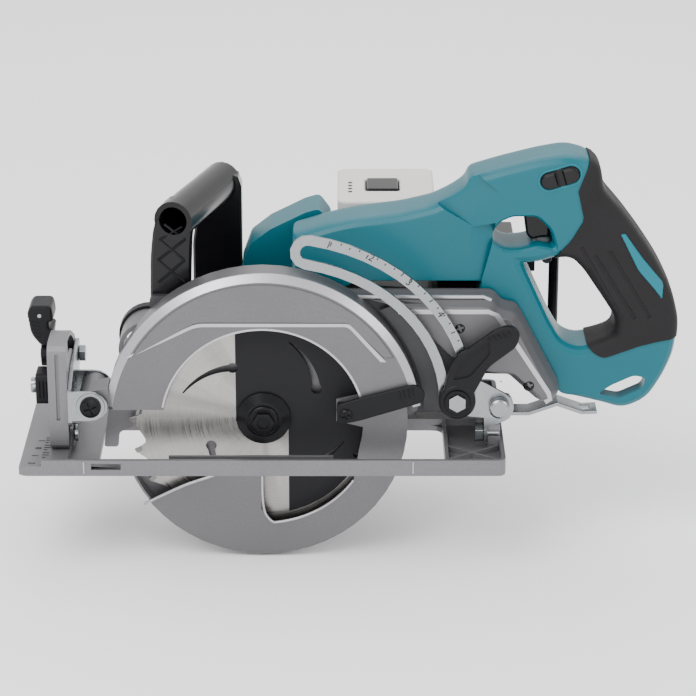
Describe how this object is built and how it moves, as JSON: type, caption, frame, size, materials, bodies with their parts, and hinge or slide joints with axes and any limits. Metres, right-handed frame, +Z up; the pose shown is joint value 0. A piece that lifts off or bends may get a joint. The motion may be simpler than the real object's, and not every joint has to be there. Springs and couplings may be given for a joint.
{
  "type": "cordless circular saw",
  "caption": "Cordless circular saw with a rear D handle, tilting sole, swinging lower guard and curved cutting-depth guide.",
  "frame": {"origin": "on the sole's underside, midway across the sole's broad side, level with the arbor along its length", "axes": "+Z up from the sole's underside, +X from the sole's front towards the rear handle, +Y from the blade side towards the motor side"},
  "size_m": [0.451, 0.206, 0.2797],
  "materials": {
    "cast_magnesium": "satin cast magnesium with fine grain",
    "dark_casting": "satin dark grey casting",
    "plated_steel": "bright zinc plating, softly brushed",
    "steel": "ground steel",
    "black_oxide": "black oxide steel",
    "teal_plastic": "fine moulded grain",
    "black_plastic": "semi-gloss moulded nylon",
    "rubber": "matt overmould with fine texture",
    "pale_plastic": "pale moulded plastic",
    "winding": "lacquered copper winding",
    "board": "lacquered circuit board"
  },
  "bodies": {
    "base": {"base_plate": "cast_magnesium", "bevel_quadrant": "cast_magnesium", "bevel_stop_bolt": "plated_steel"},
    "bevel_stop": {"bevel_stop": "black_plastic"},
    "tilt_frame": {"front_bracket": "plated_steel", "rear_bracket": "plated_steel", "bevel_pin_front": "plated_steel", "bevel_pin_rear": "plated_steel", "bevel_bolt": "plated_steel", "depth_pivot_bolt": "black_oxide", "guide_pin": "plated_steel"},
    "bevel_lever": {"bevel_lever": "black_plastic"},
    "guide": {"depth_guide": "plated_steel"},
    "body": {"blade_case": "cast_magnesium", "chip_port_ring": "black_plastic", "gear_housing": "dark_casting", "bearing_plate": "cast_magnesium", "housing_cover": "cast_magnesium", "left_housing": "teal_plastic", "right_housing": "teal_plastic", "left_grip": "rubber", "right_grip": "rubber", "motor_housing": "teal_plastic", "motor_cap": "black_plastic", "front_handle": "black_plastic", "battery_mount": "black_plastic", "hook_seat_upper": "black_plastic", "hook_seat_lower": "black_plastic", "tether_bracket": "plated_steel", "depth_bolt": "plated_steel", "depth_washer": "plated_steel", "stator": "winding", "spindle_bearing_outer": "steel", "spindle_bearing_inner": "steel", "motor_bearing_front": "steel", "motor_bearing_rear": "steel", "switch_unit": "black_plastic", "control_board": "board"},
    "depth_lever": {"depth_lever": "black_plastic"},
    "guard": {"lower_guard": "cast_magnesium", "guard_lever": "black_plastic", "guard_lever_screw": "plated_steel"},
    "drive": {"blade": "steel", "outer_flange": "black_oxide", "inner_flange": "black_oxide", "blade_bolt": "black_oxide", "spindle": "steel", "drive_gear": "steel"},
    "motor_rotor": {"motor_shaft": "steel", "rotor": "black_oxide", "cooling_fan": "black_plastic"},
    "trigger": {"trigger": "black_plastic"},
    "lock_off": {"lock_off_button": "black_plastic"},
    "shaft_lock": {"shaft_lock": "black_plastic"},
    "battery": {"battery_pack": "pale_plastic"},
    "battery_latch": {"battery_latch": "black_plastic"},
    "hook": {"hook": "black_oxide"}
  },
  "joints": [
    {"name": "bevel_tilt", "type": "hinge", "parent": "base", "child": "tilt_frame", "pos_m": [-0.14, -0.075, 0.016], "axis": [1, 0, 0], "range_deg": [0, 45]},
    {"name": "bevel_lever_turn", "type": "hinge", "parent": "tilt_frame", "child": "bevel_lever", "pos_m": [-0.15, -0.02751, 0.05585], "axis": [1, 0, 0], "range_deg": [-50, 0]},
    {"name": "bevel_stop_turn", "type": "hinge", "parent": "base", "child": "bevel_stop", "pos_m": [-0.152, -0.053, 0.042], "axis": [1, 0, 0], "range_deg": [0, 90]},
    {"name": "depth_swing", "type": "hinge", "parent": "tilt_frame", "child": "body", "pos_m": [-0.1172, -0.075, 0.0413], "axis": [0, -1, 0], "range_deg": [0, 34]},
    {"name": "guide_swing", "type": "hinge", "parent": "tilt_frame", "child": "guide", "pos_m": [0.161, -0.083, 0.039], "axis": [0, -1, 0], "range_deg": [-21.2, 0]},
    {"name": "depth_lever_turn", "type": "hinge", "parent": "body", "child": "depth_lever", "pos_m": [0.1322, -0.089, 0.0446], "axis": [0, -1, 0], "range_deg": [0, 50]},
    {"name": "guard_swing", "type": "hinge", "parent": "body", "child": "guard", "pos_m": [0, -0.075, 0.027], "axis": [0, -1, 0], "range_deg": [0, 105], "stiffness_Nm_per_rad": 0.25, "springref_deg": -34.38},
    {"name": "blade_spin", "type": "hinge", "parent": "body", "child": "drive", "pos_m": [0, -0.075, 0.027], "axis": [0, 1, 0], "continuous": true},
    {"name": "motor_spin", "type": "hinge", "parent": "body", "child": "motor_rotor", "pos_m": [0.008, -0.015, 0.0538], "axis": [0, 1, 0], "continuous": true},
    {"name": "trigger_pull", "type": "hinge", "parent": "body", "child": "trigger", "pos_m": [0.191, -0.033, 0.165], "axis": [0, -1, 0], "range_deg": [0, 8], "stiffness_Nm_per_rad": 1.5, "springref_deg": -5.73},
    {"name": "lock_off_push", "type": "slide", "parent": "body", "child": "lock_off", "axis": [0, 1, 0], "range_m": [-0.002, 0.002], "stiffness_N_per_m": 600},
    {"name": "shaft_lock_push", "type": "slide", "parent": "body", "child": "shaft_lock", "axis": [0, -1, 0], "range_m": [0, 0.004], "stiffness_N_per_m": 500},
    {"name": "battery_slide", "type": "slide", "parent": "body", "child": "battery", "axis": [0, 0, 1], "range_m": [0, 0.12]},
    {"name": "battery_latch_push", "type": "slide", "parent": "battery", "child": "battery_latch", "axis": [0, 0, -1], "range_m": [0, 0.003], "stiffness_N_per_m": 600},
    {"name": "hook_swing", "type": "hinge", "parent": "body", "child": "hook", "pos_m": [0.184, 0.035, 0.084], "axis": [0, 0, 1], "range_deg": [0, 90]}
  ],
  "couplings": [
    {"joint": "guide_swing", "follows": "depth_swing", "ratio": -0.62},
    {"joint": "motor_spin", "follows": "blade_spin", "ratio": -4}
  ]
}
